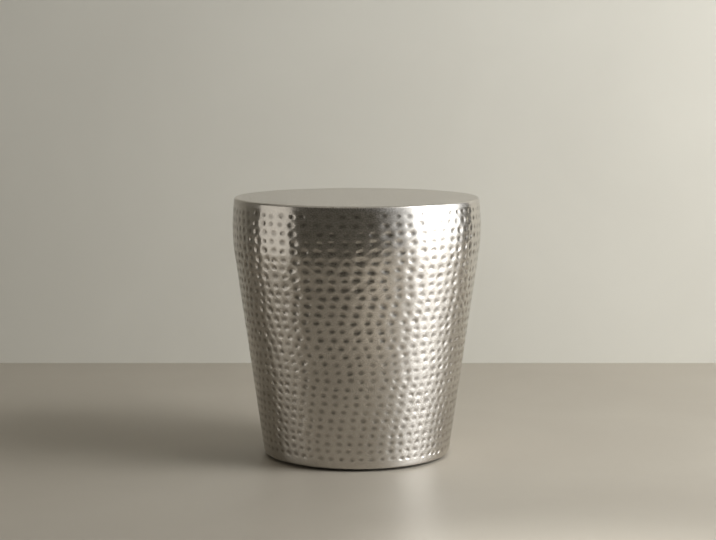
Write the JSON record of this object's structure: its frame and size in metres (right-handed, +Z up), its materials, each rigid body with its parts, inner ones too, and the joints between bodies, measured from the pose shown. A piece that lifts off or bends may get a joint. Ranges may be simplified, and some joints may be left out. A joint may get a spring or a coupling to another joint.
{
  "type": "drum side table",
  "caption": "Round metal side table: a tapered drum with a hammered wall, a swelling shoulder, a flat welded top, a rolled foot rim and hidden feet under a closed base.",
  "frame": {"origin": "on the floor, under the middle of the drum, at the level of the feet", "axes": "+Z up along the drum's axis, -Y towards the front, +X to the right; the drum is round, so front is the side seen in the picture"},
  "size_m": [0.4369, 0.437, 0.457],
  "materials": {
    "hammered_metal": "hammered sheet with a satin nickel finish",
    "satin_metal": "smooth sheet with a satin nickel finish",
    "fibreboard": "bare fibreboard",
    "mild_steel": "plain mild steel",
    "black_board": "fibreboard painted matt black",
    "zinc_hardware": "zinc-plated steel",
    "foot_rubber": "moulded black rubber"
  },
  "bodies": {
    "root": {"drum_shell": "hammered_metal", "top_plate": "satin_metal", "core_board": "fibreboard", "rim_wire": "mild_steel", "base_tab_right": "mild_steel", "base_tab_back": "mild_steel", "base_tab_left": "mild_steel", "base_tab_front": "mild_steel", "base_board": "black_board", "base_board_screws": "zinc_hardware", "foot_back_right": "foot_rubber", "foot_back_left": "foot_rubber", "foot_front_left": "foot_rubber", "foot_front_right": "foot_rubber", "foot_washers": "zinc_hardware", "foot_screws": "zinc_hardware"}
  },
  "joints": []
}
